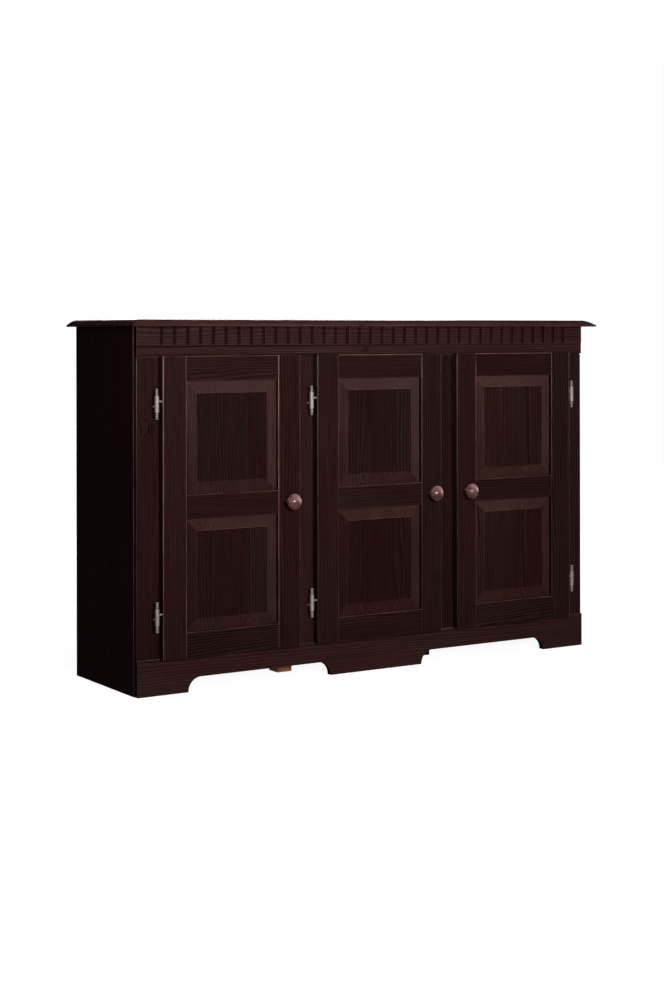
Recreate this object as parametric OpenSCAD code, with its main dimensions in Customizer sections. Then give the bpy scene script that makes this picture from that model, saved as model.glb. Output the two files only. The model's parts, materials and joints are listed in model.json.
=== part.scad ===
// A low three-door sideboard in dark stained pine, with a dentilled frieze and an arched plinth.
// X runs along the front, Y runs from the front (negative) to the back, Z is up.
// The origin lies on the floor in the middle of the whole piece, knobs and top board included.

/* [Carcass] */
// Width over the two side panels
carcass_width = 1292; // [1100:1:1600]
// Height from the floor to the upper face of the top board
total_height = 850; // [760:5:1000]
// Depth of the side panels, from their front edge to their back edge
side_depth = 310; // [260:5:420]
// Thickness of the side panels
side_thickness = 18; // [16:1:24]
// Thickness of the two upright partitions
partition_thickness = 18; // [16:1:24]
// Thickness of the bottom board
bottom_thickness = 18; // [15:1:24]
// Depth of the housing in each side panel that holds the bottom board
housing_depth = 6; // [4:1:9]
// Thickness of the back panel
back_thickness = 6; // [4:1:9]
// Width of the rebate in each side panel that holds the back panel
back_rebate = 9; // [6:1:12]

/* [Top board] */
// Thickness of the top board
top_thickness = 16; // [14:1:24]
// How far the top board stands out past each side panel
top_side_overhang = 24; // [20:1:50]
// How far the top board stands out in front of the frieze
top_front_overhang = 31; // [27:1:60]
// How far the top board stands out behind the side panels
top_back_overhang = 4; // [0:1:20]
// Height of the half-round nose along the lower edge of the moulding
nose_height = 5; // [3:0.5:6]
// Width of the moulded slope, seen from above
slope_width = 25; // [14:1:27]
// Radius of the curve of the moulded slope
slope_radius = 50; // [35:1:120]

/* [Eased edges] */
// Radius of the rounded front edges of the stiles, rails and side panels
arris = 2.2; // [1:0.1:3]
// How far the ends of the frieze, the stiles and the plinth lie inside the side panels' outer faces
frame_inset = 1; // [0.5:0.1:2]

/* [Face frame] */
// Height of the frieze board
frieze_height = 70; // [58:1:90]
// Thickness of the frieze board
frieze_thickness = 16; // [14:1:20]
// Height of the dentilled band along the top of the frieze
dentil_height = 42; // [32:1:50]
// Width of one groove between two dentils
dentil_groove_width = 9.5; // [6:0.5:14]
// Depth of the grooves between the dentils
dentil_groove_depth = 5; // [3:0.5:7]
// Distance from one groove to the next
dentil_pitch = 33.3; // [26:0.1:45]
// Least distance from the end of the frieze to the middle of the first groove
dentil_end_margin = 60; // [40:1:90]
// How far the dentilled band stands proud of the plain strip below it
dentil_step = 1; // [0.5:0.5:2]
// Thickness of the stiles and mullions
stile_thickness = 12; // [10:1:13]
// Gap between the frieze and the tops of the stiles and mullions
stile_top_gap = 2.5; // [0.5:0.1:3]

/* [Plinth] */
// Height of the plinth
plinth_height = 83; // [70:1:110]
// Thickness of the plinth
plinth_thickness = 16; // [14:1:20]
// Width of the foot at each end of the plinth
end_foot_width = 130; // [90:1:180]
// Width of the foot in the middle of the plinth
middle_foot_width = 265; // [180:1:340]
// Height of the two arches
arch_height = 33; // [30:1:45]
// Radius of the upper corners of the arches
arch_radius = 32; // [10:1:32]

/* [Doors] */
// Distance from the outer face of a side panel to the edge of the nearest door
door_margin = 57; // [46:1:80]
// Distance from the edge of one door to the edge of the next
door_gap = 47.5; // [44:0.5:80]
// How far a door covers the stile or mullion behind its edge
door_overlap = 12; // [8:1:18]
// How far the doors cover the lower edge of the frieze
door_frieze_cover = 3; // [1:0.5:8]
// How far the doors cover the upper edge of the plinth
door_plinth_cover = 2; // [1:0.5:8]
// Thickness of the door frames
door_thickness = 18; // [18:1:24]
// Space between the backs of the doors and the face of the frieze
door_standoff = 1; // [0.5:0.5:3]
// Width of the door stiles
door_stile_width = 60; // [50:1:75]
// Height of the top rail of a door
top_rail_height = 57; // [45:1:75]
// Height of the middle rail of a door
middle_rail_height = 55; // [50:1:75]
// Height of the bottom rail of a door
bottom_rail_height = 59; // [45:1:75]

/* [Door panels] */
// How far the raised field of a panel lies behind the front of the door
field_recess = 5; // [4:0.5:6]
// Height of the square shoulder around the field
shoulder_height = 1; // [0.5:0.5:1.5]
// Fall of the bevel from the shoulder to the frame
bevel_fall = 5; // [3:0.5:5.5]
// Width of the bevel that shows between the field and the frame
bevel_width = 28; // [18:1:40]
// Thickness of the tongue that runs in the groove of the frame
tongue_thickness = 3.5; // [3:0.5:4]
// Depth of the groove in the inner edges of the frame
groove_depth = 8; // [6:1:10]
// Space between the tongue and the bottom of the groove
panel_float = 0.8; // [0.2:0.1:0.9]
// Space between a tongue and each cheek of its groove
groove_clearance = 0.1; // [0.05:0.05:0.2]

/* [Knobs] */
// Diameter of the mushroom head of a knob
knob_diameter = 38; // [32:1:44]
// How far a knob stands out in front of the door
knob_length = 36; // [32:1:44]
// Diameter of the foot of a knob, where it meets the door
knob_foot_diameter = 22; // [18:1:26]
// Thickness of the foot of a knob
knob_foot_thickness = 3; // [2:0.5:4]
// Least diameter of the neck of a knob
knob_neck_diameter = 15; // [12:1:17]
// Radius of the rounded rim of the mushroom head
knob_rim_radius = 5; // [4:0.5:6]
// Distance from the door to the middle of the rounded rim
knob_rim_height = 22; // [20:0.5:24]
// Diameter of the spigot that holds a knob in its stile
knob_spigot_diameter = 8; // [6:1:10]
// Length of the spigot that holds a knob in its stile
knob_spigot_length = 12; // [8:1:15]

/* [Hinges] */
// Diameter of the hinge barrels
barrel_diameter = 10; // [9:0.5:12]
// Length of one half of a hinge barrel
barrel_half_length = 20; // [16:1:24]
// Distance from the edge of the door to the hinge axis
axis_offset = 12; // [10:0.5:14]
// Distance from the front face of the door back to the hinge axis
axis_inset = 7; // [6:0.5:8]
// Diameter of the upright pin that the door turns on
hinge_pin_diameter = 6; // [4:0.5:6]
// Length of the upright pin inside the upper half of the barrel
hinge_pin_length = 16; // [10:1:16]
// Space between the upright pin and its bore, measured on the radius
hinge_running_fit = 0.05; // [0.02:0.01:0.1]
// Space between the two halves of a barrel
barrel_gap = 0.3; // [0.1:0.1:0.6]
// Diameter of the pins that are screwed into the door and the stile
screw_pin_diameter = 5; // [4:0.5:6]
// Distance from the middle of the hinge up or down to a screwed pin
screw_pin_height = 6; // [5:0.5:8]
// Length of the screwed pin inside the edge of the door
door_pin_depth = 14; // [8:1:30]
// Length of the screwed pin inside the stile or mullion
frame_pin_depth = 9; // [6:0.5:9]
// Distance from the top of the door down to the middle of the upper hinge
upper_hinge_drop = 108; // [80:1:140]
// Distance from the bottom of the door up to the middle of the lower hinge
lower_hinge_rise = 98; // [80:1:140]
// Diameter of the groove between a barrel and the collar of its finial
finial_groove_diameter = 7; // [5:0.5:7.5]
// Height of that groove
finial_groove_height = 1; // [0.5:0.1:1.5]
// Diameter of the round collar of each finial
finial_collar_diameter = 9; // [8:0.5:11]
// Height of the round collar
finial_collar_height = 2.4; // [1.5:0.1:3]
// Diameter of the small ball above the collar
finial_ball_diameter = 5.4; // [4.5:0.1:6]
// Diameter of the neck that runs through the small ball
finial_neck_diameter = 3.6; // [3:0.1:4.2]
// Diameter of the button at the end of each finial
finial_button_diameter = 7; // [6:0.5:8]
// Height of the rim of the button
finial_button_height = 1.6; // [1:0.1:2.5]
// Height of each finial
finial_height = 15; // [14:0.5:18]

/* [Shelves] */
// Height of the upper face of the shelves above the floor
shelf_top_height = 436; // [300:1:560]
// Thickness of the shelves
shelf_thickness = 16; // [14:1:20]
// Distance from the front edges of the side panels back to the shelves
shelf_setback = 30; // [20:1:60]
// Space between a shelf and the uprights at each end, and the back panel
shelf_clearance = 1; // [0.5:0.5:2]
// Diameter of the shelf pins
shelf_pin_diameter = 5; // [4:0.5:7]
// Length of a shelf pin inside the side panel or partition
shelf_pin_depth = 8; // [6:0.5:8]
// Length of a shelf pin that carries the shelf
shelf_pin_reach = 10; // [8:0.5:14]
// Distance from the edges of a shelf to its pins
shelf_pin_inset = 40; // [30:1:60]

/* [Catches] */
// Thickness of the walls of a magnetic catch
catch_wall = 2; // [1.5:0.5:3]
// Length of a magnetic catch along the front
catch_length = 44; // [36:1:50]
// Height of a magnetic catch
catch_height = 14; // [11:1:18]
// Depth of a magnetic catch, from its front to its back
catch_depth = 26; // [22:1:34]
// Length of the steel plate on the door that meets the catch
strike_length = 36; // [28:1:40]
// Height of the steel plate on the door
strike_height = 10; // [8:1:12]
// Thickness of the steel plate on the door
strike_thickness = 1.2; // [0.8:0.1:1.4]
// Space between the steel plate and the catch when the door is shut
catch_gap = 0.3; // [0.1:0.1:0.5]
// Distance from the lock edge of a door to the middle of its catch
catch_inset = 36; // [32:1:40]

/* [Support feet] */
// Width of the square pine feet under the bottom board
support_foot_width = 40; // [30:1:60]
// Distance from the front edges of the side panels back to the middle of the feet
support_foot_setback = 100; // [60:1:180]

/* [Hidden] */
DOORS = ["left", "middle", "right"];
DOOR_PIECES = ["hinge_stile", "lock_stile", "top_rail", "middle_rail", "bottom_rail",
    "upper_panel", "lower_panel", "knob", "upper_hinge", "lower_hinge", "strike_plate"];
$fn = 48;

// Colours of the stained pine, the bare pine, the knobs, the hinges and the plates
stain = [0.24, 0.12, 0.10];
stain_light = [0.31, 0.16, 0.13];
bare_pine = [0.80, 0.58, 0.36];
knob_brown = [0.45, 0.24, 0.15];
nickel = [0.78, 0.76, 0.72];
catch_brown = [0.28, 0.20, 0.16];

// Places along X
half_width = carcass_width / 2;
side_inner = half_width - side_thickness;
frame_end = half_width - frame_inset;
door_width = (carcass_width - 2 * door_margin - 2 * door_gap) / 3;
door_step = door_width + door_gap;
partition_x = (door_width + door_gap) / 2;
stile_width = door_margin + door_overlap - frame_inset;
mullion_width = door_gap + 2 * door_overlap;

// Places along Y. The front edges of the side panels lie on the plane front_y
knob_tip_out = frieze_thickness + door_standoff + door_thickness + knob_length;
front_y = (knob_tip_out - side_depth - top_back_overhang) / 2;
back_y = front_y + side_depth;
frieze_face_y = front_y - frieze_thickness;
door_back_y = frieze_face_y - door_standoff;
door_front_y = door_back_y - door_thickness;
axis_y = door_front_y + axis_inset;
back_panel_y = back_y - back_thickness;

// Places along Z
top_underside = total_height - top_thickness;
frieze_bottom = top_underside - frieze_height;
door_top = frieze_bottom + door_frieze_cover;
door_bottom = plinth_height - door_plinth_cover;
door_height = door_top - door_bottom;
middle_rail_centre = (door_top + door_bottom) / 2;
upper_hinge_z = door_top - upper_hinge_drop;
lower_hinge_z = door_bottom + lower_hinge_rise;
shelf_bottom = shelf_top_height - shelf_thickness;

// Sizes inside a door
opening_width = door_width - 2 * door_stile_width;
upper_opening_bottom = middle_rail_centre + middle_rail_height / 2;
upper_opening_top = door_top - top_rail_height;
lower_opening_bottom = door_bottom + bottom_rail_height;
lower_opening_top = middle_rail_centre - middle_rail_height / 2;
tongue_front = field_recess + shoulder_height + bevel_fall;
groove_front = tongue_front - groove_clearance;
groove_width = tongue_thickness + 2 * groove_clearance;
tongue_reach = groove_depth - panel_float;

// Room for a cut to run clear of the face it opens
past = 1;
// Space between a pin and its blind bore, on the radius and at the end
pin_slack = 0.05;

// Places of the shelves and of their pins, and the two uprights beside each bay
shelf_back = back_panel_y - shelf_clearance;
shelf_front = front_y + shelf_setback;
shelf_pin_places = [shelf_front + shelf_pin_inset, shelf_back - shelf_pin_inset];
shelf_pin_z = shelf_bottom - shelf_pin_diameter / 2 - pin_slack;
bay_edges = [
    [-side_inner, -partition_x - partition_thickness / 2],
    [-partition_x + partition_thickness / 2, partition_x - partition_thickness / 2],
    [partition_x + partition_thickness / 2, side_inner]];

// Middle of each door along X, and the side its hinges are on (-1 is the left)
door_x = [-door_step, 0, door_step];
hinge_side = [-1, -1, 1];

// Board that fills a box from its lowest to its highest corner
module board(low, high) {
    translate(low)
    cube(high - low);
}

// Section of a board with rounded front edges: its front on y = 0, its back on y = thickness.
// The edge at x = 0 is rounded if near is true, and the edge at x = width if far is true
module eased_section(width, thickness, near = true, far = true) {
    left = near ? arris : 0;
    right = far ? arris : 0;
    translate([0, arris])
    square([width, thickness - arris]);
    translate([left, 0])
    square([width - left - right, thickness]);
    if (near)
    translate([arris, arris])
    circle(r = arris);
    if (far)
    translate([width - arris, arris])
    circle(r = arris);
}

// Section of the moulded edge, with its outer tip at the origin and the board towards +X.
// A half-round nose along the foot, then a long arc that rises to the upper face.
module moulded_edge(run) {
    nose = nose_height / 2;
    start = [nose, nose_height];
    rise = [slope_width, top_thickness] - start;
    chord = norm(rise);
    reach = sqrt(slope_radius * slope_radius - chord * chord / 4);
    centre = start + rise / 2 + [rise[1], -rise[0]] / chord * reach;
    translate([nose, nose])
    circle(r = nose);
    translate([nose, 0])
    square([slope_width - nose, nose_height]);
    intersection() {
        translate([nose, 0])
        square([slope_width - nose, top_thickness]);
        translate(centre)
        circle(r = slope_radius);
    }
    translate([slope_width, 0])
    square([run - slope_width, top_thickness]);
}

// Top board: one moulding runs across the front, and one along each end
module top_board() {
    width = carcass_width + 2 * top_side_overhang;
    front = frieze_face_y - top_front_overhang;
    depth = back_y + top_back_overhang - front;
    color(stain_light)
    intersection() {
        translate([-width / 2, front, top_underside])
        rotate([90, 0, 90])
        linear_extrude(width)
        moulded_edge(depth);
        translate([0, front + depth, top_underside])
        rotate([90, 0, 0])
        linear_extrude(depth)
        for (s = [0, 1])
        mirror([s, 0])
        translate([-width / 2, 0])
        moulded_edge(width / 2);
    }
}

// Bores for the pins of one shelf, in an upright whose face is at x and looks towards +X or -X
module pin_bores(x, facing) {
    for (y = shelf_pin_places)
    translate([x + facing * past, y, shelf_pin_z])
    rotate([0, -90 * facing, 0])
    cylinder(r = shelf_pin_diameter / 2 + pin_slack, h = shelf_pin_depth + pin_slack + past);
}

// Side panel on the right: rounded outer front edge, housing for the bottom board, rebate for
// the back, pin bores
module side_panel() {
    difference() {
        translate([side_inner, front_y, 0])
        linear_extrude(top_underside)
        eased_section(side_thickness, side_depth, near = false);
        board([side_inner - past, front_y - past, plinth_height - bottom_thickness],
              [side_inner + housing_depth, back_panel_y, plinth_height]);
        board([side_inner - past, back_panel_y, -past],
              [side_inner + back_rebate, back_y + past, top_underside + past]);
        pin_bores(side_inner, -1);
    }
}

module side_left() {
    color(stain)
    mirror([1, 0, 0])
    side_panel();
}

module side_right() {
    color(stain)
    side_panel();
}

// Partition on the right: stands on the bottom board and reaches the top board
module partition() {
    near = partition_x - partition_thickness / 2;
    far = partition_x + partition_thickness / 2;
    difference() {
        board([near, front_y, plinth_height], [far, back_panel_y, top_underside]);
        pin_bores(near, -1);
        pin_bores(far, 1);
    }
}

module partition_left() {
    color(stain)
    mirror([1, 0, 0])
    partition();
}

module partition_right() {
    color(stain)
    partition();
}

// Bottom board: held in the housings of the side panels, flush with the top of the plinth
module bottom_board() {
    reach = side_inner + housing_depth;
    color(stain)
    board([-reach, front_y, plinth_height - bottom_thickness], [reach, back_panel_y, plinth_height]);
}

// Back panel: lies in the rebates of the side panels, behind the bottom board and partitions
module back_panel() {
    reach = side_inner + back_rebate;
    color(stain)
    board([-reach, back_panel_y, plinth_height - bottom_thickness], [reach, back_y, top_underside]);
}

// Frieze: a dentilled band above a plain strip that lies a step behind it
module frieze() {
    band_bottom = top_underside - dentil_height;
    count = floor((carcass_width - 2 * dentil_end_margin) / dentil_pitch) + 1;
    first = -(count - 1) * dentil_pitch / 2;
    color(stain_light)
    difference() {
        board([-frame_end, frieze_face_y, frieze_bottom], [frame_end, front_y, top_underside]);
        board([-frame_end - past, frieze_face_y - past, frieze_bottom - past],
              [frame_end + past, frieze_face_y + dentil_step, band_bottom]);
        for (i = [0 : count - 1])
        translate([first + i * dentil_pitch - dentil_groove_width / 2, frieze_face_y - past, band_bottom])
        cube([dentil_groove_width, dentil_groove_depth + past, dentil_height + past]);
    }
}

// Upright of the face frame, from the plinth to the frieze, with eased front edges.
// A blind bore takes the frame pin of each hinge that is named by its place along X.
module upright(near, far, hinge_places) {
    foot = plinth_height;
    length = frieze_bottom - stile_top_gap - foot;
    difference() {
        translate([near, front_y - stile_thickness, foot])
        linear_extrude(length)
        eased_section(far - near, stile_thickness);
        for (x = hinge_places)
        for (z = [upper_hinge_z, lower_hinge_z])
        translate([x, front_y - stile_thickness - past, z - screw_pin_height])
        rotate([-90, 0, 0])
        cylinder(r = screw_pin_diameter / 2 + pin_slack, h = frame_pin_depth + pin_slack + past);
    }
}

module stile_left() {
    color(stain)
    upright(-frame_end, -frame_end + stile_width, [hinge_x(0)]);
}

module stile_right() {
    color(stain)
    upright(frame_end - stile_width, frame_end, [hinge_x(2)]);
}

module mullion_left() {
    color(stain)
    upright(-partition_x - mullion_width / 2, -partition_x + mullion_width / 2, [hinge_x(1)]);
}

module mullion_right() {
    color(stain)
    upright(partition_x - mullion_width / 2, partition_x + mullion_width / 2, []);
}

// Outline of one arch of the plinth, with round upper corners
module arch(near, far) {
    translate([near, -past])
    square([far - near, arch_height - arch_radius + past]);
    translate([near + arch_radius, -past])
    square([far - near - 2 * arch_radius, arch_height + past]);
    for (x = [near + arch_radius, far - arch_radius])
    translate([x, arch_height - arch_radius])
    circle(r = arch_radius);
}

// Plinth: two arches leave a foot at each end and a wide one in the middle
module plinth() {
    color(stain)
    translate([0, front_y, 0])
    rotate([90, 0, 0])
    linear_extrude(plinth_thickness)
    difference() {
        translate([-frame_end, 0])
        square([2 * frame_end, plinth_height]);
        for (s = [0, 1])
        mirror([s, 0])
        intersection() {
            arch(middle_foot_width / 2, frame_end - end_foot_width);
            translate([0, -past])
            square([half_width, plinth_height]);
        }
    }
}

// Shelf of one bay, numbered from the left
module shelf(bay) {
    color(stain)
    board([bay_edges[bay][0] + shelf_clearance, shelf_front, shelf_bottom],
          [bay_edges[bay][1] - shelf_clearance, shelf_back, shelf_top_height]);
}

// Twelve steel pins, four under each shelf
module shelf_pins() {
    color(nickel)
    for (bay = bay_edges)
    for (y = shelf_pin_places)
    for (s = [0, 1])
    translate([bay[s] + (s == 0 ? -shelf_pin_depth : -shelf_pin_reach), y, shelf_pin_z])
    rotate([0, 90, 0])
    cylinder(d = shelf_pin_diameter, h = shelf_pin_depth + shelf_pin_reach);
}

// Square foot of bare pine between the floor and the bottom board, below a partition
module support_foot(x) {
    half = support_foot_width / 2;
    color(bare_pine)
    board([x - half, front_y + support_foot_setback - half, 0],
          [x + half, front_y + support_foot_setback + half, plinth_height - bottom_thickness]);
}

// Middle of the catch of a door along X, near its lock edge
function catch_x(d) = door_x[d] - hinge_side[d] * (door_width / 2 - catch_inset);

// Three magnetic catches that stand on the bottom board and the top edge of the plinth
module door_catches() {
    face = door_back_y + strike_thickness + catch_gap;
    slot = 2 * catch_wall;
    color(catch_brown)
    for (d = [0 : 2])
    translate([catch_x(d) - catch_length / 2, face, plinth_height])
    difference() {
        cube([catch_length, catch_depth, catch_height]);
        for (x = [catch_wall, catch_length - catch_wall - slot])
        translate([x, catch_wall, catch_height / 2])
        cube([slot, catch_depth - 2 * catch_wall, catch_height]);
    }
}

// Place of the hinge axis of a door along X
function hinge_x(d) = door_x[d] + hinge_side[d] * (door_width / 2 + axis_offset);

// Finial that stands on a barrel end at z = 0: groove, collar, small ball and a domed button
module finial() {
    collar_top = finial_groove_height + finial_collar_height;
    rim = finial_button_diameter / 2;
    dome_height = rim / 2;
    dome = (rim * rim + dome_height * dome_height) / (2 * dome_height);
    button_top = finial_height - dome_height;
    button_foot = button_top - finial_button_height;
    cylinder(d = finial_groove_diameter, h = finial_groove_height);
    translate([0, 0, finial_groove_height])
    cylinder(d = finial_collar_diameter, h = finial_collar_height);
    translate([0, 0, collar_top])
    cylinder(d = finial_neck_diameter, h = button_foot - collar_top);
    translate([0, 0, (collar_top + button_foot) / 2])
    sphere(d = finial_ball_diameter);
    translate([0, 0, button_foot])
    cylinder(d = finial_button_diameter, h = finial_button_height);
    intersection() {
        translate([0, 0, finial_height - dome])
        sphere(r = dome);
        translate([0, 0, button_top])
        cylinder(d = finial_button_diameter, h = dome_height);
    }
}

// Lower half of a hinge, fixed to the face frame: barrel, upright pin, finial, screwed pin
module frame_half(d, z) {
    top = -barrel_gap / 2;
    to_stile = front_y - stile_thickness - axis_y;
    color(nickel)
    translate([hinge_x(d), axis_y, z]) {
        translate([0, 0, -barrel_half_length])
        cylinder(d = barrel_diameter, h = barrel_half_length + top);
        cylinder(d = hinge_pin_diameter, h = hinge_pin_length);
        translate([0, 0, -barrel_half_length / 2])
        cylinder(d = hinge_pin_diameter, h = barrel_half_length / 2);
        translate([0, 0, -barrel_half_length])
        mirror([0, 0, 1])
        finial();
        translate([0, 0, -screw_pin_height])
        rotate([-90, 0, 0])
        cylinder(d = screw_pin_diameter, h = to_stile + frame_pin_depth);
    }
}

// Upper half of a hinge, fixed to the door: bored barrel, finial, screwed pin
module door_half(d, z) {
    bore_radius = hinge_pin_diameter / 2 + hinge_running_fit;
    color(nickel)
    translate([hinge_x(d), axis_y, z])
    difference() {
        union() {
            translate([0, 0, barrel_gap / 2])
            cylinder(d = barrel_diameter, h = barrel_half_length - barrel_gap / 2);
            translate([0, 0, barrel_half_length])
            finial();
            translate([0, 0, screw_pin_height])
            rotate([0, -90 * hinge_side[d], 0])
            cylinder(d = screw_pin_diameter, h = axis_offset + door_pin_depth);
        }
        translate([0, 0, -past])
        cylinder(r = bore_radius, h = past + hinge_pin_length + barrel_gap);
    }
}

// Section of a frame member of a door, with rounded front edges, and a groove in its far edge
// and, if both is true, in its near edge too
module frame_section(width, both) {
    difference() {
        eased_section(width, door_thickness);
        translate([width - groove_depth, groove_front])
        square([groove_depth + past, groove_width]);
        if (both)
        translate([-past, groove_front])
        square([groove_depth + past, groove_width]);
    }
}

// Upright of a door frame. It starts at x on the outer edge and its groove looks towards side
module door_stile(x, side) {
    translate([x, door_front_y, door_bottom])
    mirror([side < 0 ? 1 : 0, 0, 0])
    linear_extrude(door_height)
    frame_section(door_stile_width, false);
}

// Stile on the hinge side, with a blind bore for the door pin of each hinge
module hinge_stile(d) {
    edge = door_x[d] + hinge_side[d] * door_width / 2;
    color(stain)
    difference() {
        door_stile(edge, -hinge_side[d]);
        for (z = [upper_hinge_z, lower_hinge_z])
        translate([edge + hinge_side[d] * past, axis_y, z + screw_pin_height])
        rotate([0, -90 * hinge_side[d], 0])
        cylinder(r = screw_pin_diameter / 2 + pin_slack, h = door_pin_depth + pin_slack + past);
    }
}

// Place of the knob of a door along X, in the middle of its lock stile
function knob_x(d) = door_x[d] - hinge_side[d] * (door_width - door_stile_width) / 2;

// Stile on the lock side, with a blind bore for the spigot of the knob
module lock_stile(d) {
    color(stain)
    difference() {
        door_stile(door_x[d] - hinge_side[d] * door_width / 2, hinge_side[d]);
        translate([knob_x(d), door_front_y - past, middle_rail_centre])
        rotate([-90, 0, 0])
        cylinder(r = knob_spigot_diameter / 2 + pin_slack, h = knob_spigot_length + pin_slack + past);
    }
}

// Rail of a door between two heights, with stub tenons in the grooves of the stiles.
// Its groove looks up or down, or both ways
module rail(d, low, high, up, down) {
    height = high - low;
    reach = opening_width / 2 + tongue_reach;
    color(stain)
    translate([door_x[d], door_front_y, 0]) {
        translate([-opening_width / 2, 0, up ? low : high])
        mirror([0, 0, up ? 0 : 1])
        rotate([90, 0, 90])
        linear_extrude(opening_width)
        mirror([1, -1])
        frame_section(height, up && down);
        translate([-reach, tongue_front, low + groove_depth])
        cube([2 * reach, tongue_thickness, height - 2 * groove_depth]);
    }
}

// Section of a raised and fielded panel for an opening, across its middle at x = 0:
// tongue, bevel, shoulder and field in front, and a flat back
module panel_section(opening) {
    edge = opening / 2 + tongue_reach;
    frame = opening / 2;
    field = frame - bevel_width;
    shoulder = field_recess + shoulder_height;
    back = tongue_front + tongue_thickness;
    polygon([[-edge, back], [-edge, tongue_front], [-frame, tongue_front], [-field, shoulder],
        [-field, field_recess], [field, field_recess], [field, shoulder],
        [frame, tongue_front], [edge, tongue_front], [edge, back]]);
}

// Panel of a door between two heights: the section run both ways, so that the bevels mitre
module door_panel(d, low, high) {
    height = high - low;
    run = 2 * groove_depth + max(opening_width, height);
    color(stain)
    translate([door_x[d], door_front_y, (low + high) / 2])
    intersection() {
        translate([0, 0, -run / 2])
        linear_extrude(run)
        panel_section(opening_width);
        translate([-run / 2, 0, 0])
        rotate([90, 0, 90])
        linear_extrude(run)
        mirror([1, -1])
        panel_section(height);
    }
}

// Turned knob: foot, coved neck and a mushroom head whose dome runs into a round rim
module knob_profile() {
    head = knob_diameter / 2;
    foot = knob_foot_diameter / 2;
    neck = knob_neck_diameter / 2;
    rim = knob_rim_radius;
    rim_r = head - rim;
    rim_z = knob_rim_height;
    cove_z = (knob_foot_thickness + rim_z - rim) / 2;
    cove = rim_z - rim - cove_z;
    dome = (rim_r * rim_r + (knob_length - rim_z) * (knob_length - rim_z) - rim * rim)
        / (2 * (knob_length - rim_z - rim));
    dome_z = knob_length - dome;
    square([foot, knob_foot_thickness]);
    difference() {
        square([foot, cove_z]);
        translate([neck + cove, cove_z])
        circle(r = cove);
    }
    difference() {
        translate([0, cove_z])
        square([rim_r, cove + rim]);
        translate([neck + cove, cove_z])
        circle(r = cove);
    }
    translate([rim_r, rim_z])
    circle(r = rim);
    intersection() {
        translate([0, dome_z])
        circle(r = dome);
        polygon([[0, rim_z], [rim_r, rim_z], [rim_r * 2, rim_z + (rim_z - dome_z)],
            [rim_r * 2, knob_length], [0, knob_length]]);
    }
}

module knob(d) {
    color(knob_brown)
    translate([knob_x(d), door_front_y, middle_rail_centre])
    rotate([90, 0, 0]) {
        rotate_extrude()
        knob_profile();
        translate([0, 0, -knob_spigot_length])
        cylinder(d = knob_spigot_diameter, h = knob_spigot_length + knob_foot_thickness);
    }
}

// Steel plate on the back of the lock stile that meets the catch
module strike_plate(d) {
    rise = (catch_height - strike_height) / 2;
    color(nickel)
    translate([catch_x(d) - strike_length / 2, door_back_y, plinth_height + rise])
    cube([strike_length, strike_thickness, strike_height]);
}

// One piece of a door, chosen by its name
module door_piece(d, piece) {
    if (piece == "hinge_stile") hinge_stile(d);
    if (piece == "lock_stile") lock_stile(d);
    if (piece == "top_rail") rail(d, upper_opening_top, door_top, false, false);
    if (piece == "middle_rail") rail(d, lower_opening_top, upper_opening_bottom, true, true);
    if (piece == "bottom_rail") rail(d, door_bottom, lower_opening_bottom, true, false);
    if (piece == "upper_panel") door_panel(d, upper_opening_bottom, upper_opening_top);
    if (piece == "lower_panel") door_panel(d, lower_opening_bottom, lower_opening_top);
    if (piece == "knob") knob(d);
    if (piece == "upper_hinge") door_half(d, upper_hinge_z);
    if (piece == "lower_hinge") door_half(d, lower_hinge_z);
    if (piece == "strike_plate") strike_plate(d);
}

top_board();
side_left();
side_right();
partition_left();
partition_right();
bottom_board();
back_panel();
frieze();
stile_left();
stile_right();
mullion_left();
mullion_right();
plinth();
shelf(0);  // shelf_left
shelf(1);  // shelf_middle
shelf(2);  // shelf_right
shelf_pins();
support_foot(-partition_x);  // support_foot_left
support_foot(partition_x);  // support_foot_right
door_catches();
for (d = [0 : 2]) {
    frame_half(d, upper_hinge_z);
    frame_half(d, lower_hinge_z);
    for (piece = DOOR_PIECES)
    door_piece(d, piece);
}
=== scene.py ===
# %% [markdown]
# A sideboard in dark stained pine
#
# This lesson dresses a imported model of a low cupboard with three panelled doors. The model holds
# every board, hinge and knob at its real size, and this script gives them their finish. It adds
# the small turned and stamped pieces that a maker would buy in, and it sets up the studio.
#
# All lengths are in metres. X runs along the front, Y from the front to the back, and Z is up.

# %% Load the model
import json
import math
import random

import bmesh
import bpy
from mathutils import Matrix, Vector


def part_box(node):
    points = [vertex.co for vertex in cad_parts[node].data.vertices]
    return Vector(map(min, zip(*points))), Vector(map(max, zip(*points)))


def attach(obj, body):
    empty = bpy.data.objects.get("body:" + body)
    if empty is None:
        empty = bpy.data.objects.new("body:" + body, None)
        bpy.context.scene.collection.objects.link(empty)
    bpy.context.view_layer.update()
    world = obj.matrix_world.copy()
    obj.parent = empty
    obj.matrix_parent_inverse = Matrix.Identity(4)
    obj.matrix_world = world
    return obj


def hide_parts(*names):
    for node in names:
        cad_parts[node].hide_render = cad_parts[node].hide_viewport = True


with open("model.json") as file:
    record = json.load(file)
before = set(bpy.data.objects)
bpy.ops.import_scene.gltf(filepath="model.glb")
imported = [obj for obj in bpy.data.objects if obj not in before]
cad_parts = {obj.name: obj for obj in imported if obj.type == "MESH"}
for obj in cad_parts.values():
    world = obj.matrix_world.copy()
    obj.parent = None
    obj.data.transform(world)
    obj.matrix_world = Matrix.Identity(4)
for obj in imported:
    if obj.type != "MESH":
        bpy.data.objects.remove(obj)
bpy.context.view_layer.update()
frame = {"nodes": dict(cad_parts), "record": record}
nodes = frame["nodes"]
MM = 0.001

# %% [markdown]
# The camera
#
# A photographer who wants upright edges to stay upright keeps the camera level and shifts the lens.
# A camera that is tilted down would make the sides lean. So this camera looks along the horizon,
# and shift_y moves the picture. It stands to the left, a little below the height of the top board,
# so the upper face of the board doesn't show.

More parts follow.
